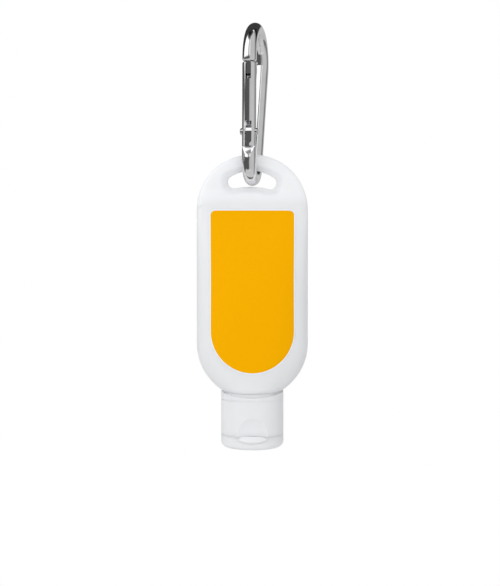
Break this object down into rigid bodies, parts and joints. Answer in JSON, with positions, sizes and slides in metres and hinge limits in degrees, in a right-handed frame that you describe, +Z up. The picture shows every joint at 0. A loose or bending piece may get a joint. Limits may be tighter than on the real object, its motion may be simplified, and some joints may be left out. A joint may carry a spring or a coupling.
{
  "type": "travel lotion bottle with snap hook",
  "caption": "Flat white squeeze bottle with a flip cap and an eye through its top web, hanging cap down from a small snap hook with a sprung gate.",
  "frame": {"origin": "on the bottle's axis, level with the inside of the hook's top bend, where a loop or belt carries it", "axes": "+Z up, against the pull of the hanging bottle; -Y is the front, with the main label; +X is to the right of the front"},
  "size_m": [0.0444, 0.032, 0.171],
  "materials": {
    "hook_chrome": "polished",
    "steel": "satin",
    "bottle_white": "semi-gloss",
    "label_orange": "semi-gloss film",
    "label_white": "semi-gloss film",
    "cap_white": "semi-gloss"
  },
  "bodies": {
    "hook": {"carabiner_frame": "hook_chrome"},
    "gate": {"gate": "hook_chrome", "gate_rivet": "steel", "gate_spring": "steel"},
    "plunger": {"gate_plunger": "steel"},
    "bottle": {"bottle_shell": "bottle_white", "front_label": "label_orange", "back_label": "label_white", "cap_collar": "cap_white", "hinge_strap": "cap_white"},
    "lid": {"cap_lid": "cap_white"}
  },
  "joints": [
    {"name": "gate_pivot", "type": "hinge", "parent": "hook", "child": "gate", "pos_m": [-0.00126, -0.00695, -0.04035], "axis": [-0.9787, 0.2045, 0.0171], "range_deg": [0, 28], "stiffness_Nm_per_rad": 0.04, "springref_deg": -14.32},
    {"name": "plunger_slide", "type": "slide", "parent": "gate", "child": "plunger", "axis": [0.0049, -0.0598, 0.9982], "range_m": [0, 0.0008], "deforming": ["gate_spring"]},
    {"name": "bottle_swing", "type": "hinge", "parent": "hook", "child": "bottle", "pos_m": [0, 0, -0.05166], "axis": [1, 0, 0], "range_deg": [-90, 90]},
    {"name": "lid_flip", "type": "hinge", "parent": "bottle", "child": "lid", "pos_m": [0, 0.01215, -0.16021], "axis": [1, 0, 0], "range_deg": [0, 150], "deforming": ["hinge_strap"]}
  ],
  "couplings": [
    {"joint": "plunger_slide", "follows": "gate_pivot", "m_per_rad": 0.0015}
  ]
}
